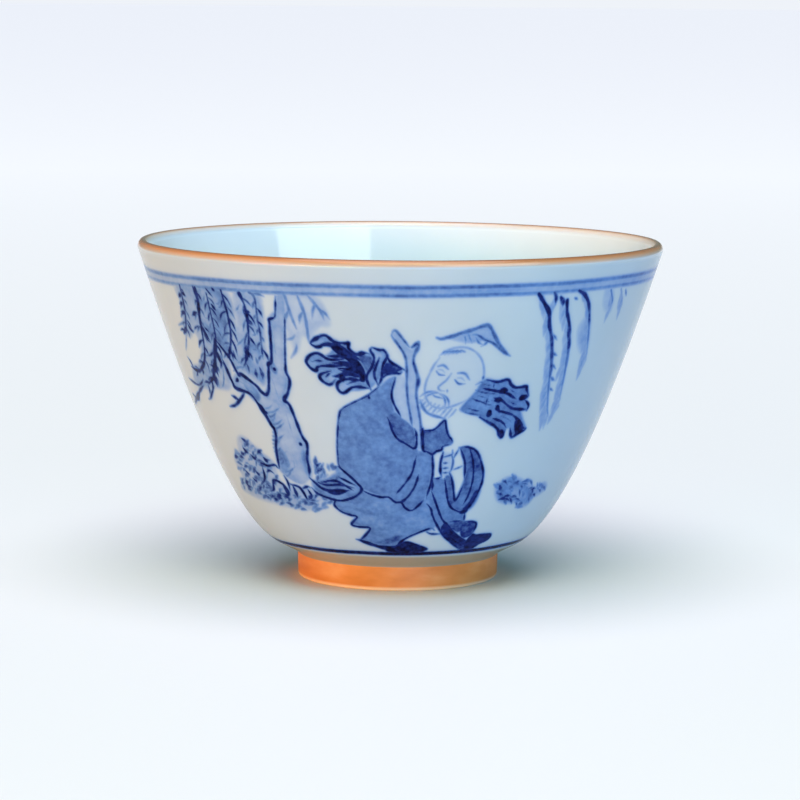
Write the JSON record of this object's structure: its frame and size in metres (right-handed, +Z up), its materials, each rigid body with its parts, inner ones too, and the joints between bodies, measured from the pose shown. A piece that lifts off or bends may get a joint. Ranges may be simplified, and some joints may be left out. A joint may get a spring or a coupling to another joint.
{
  "type": "teacup",
  "caption": "Flared footed porcelain teacup with a dressed lip, clear glazed wall painted in underglaze blue and an unglazed turned foot ring.",
  "frame": {"origin": "middle of the foot ring's resting face, on the axis the cup is turned about", "axes": "+Z up along the cup's axis, through the open mouth; -Y faces the painted side"},
  "size_m": [0.085, 0.085, 0.055],
  "materials": {
    "biscuit": "unglazed white porcelain",
    "iron_washed_foot": "unglazed clay with an orange brown iron wash, worn pale at the resting edge",
    "iron_lip": "thin glossy orange brown iron dressing",
    "outer_glaze": "glossy off-white glaze over cobalt blue painting",
    "inner_glaze": "glossy bluish white glaze",
    "base_glaze": "glossy bluish white glaze inside the foot ring"
  },
  "bodies": {
    "root": {"porcelain_bowl": "biscuit", "foot_ring": "iron_washed_foot", "rim_band": "iron_lip", "outer_glaze": "outer_glaze", "inner_glaze": "inner_glaze", "base_glaze": "base_glaze"}
  },
  "joints": []
}
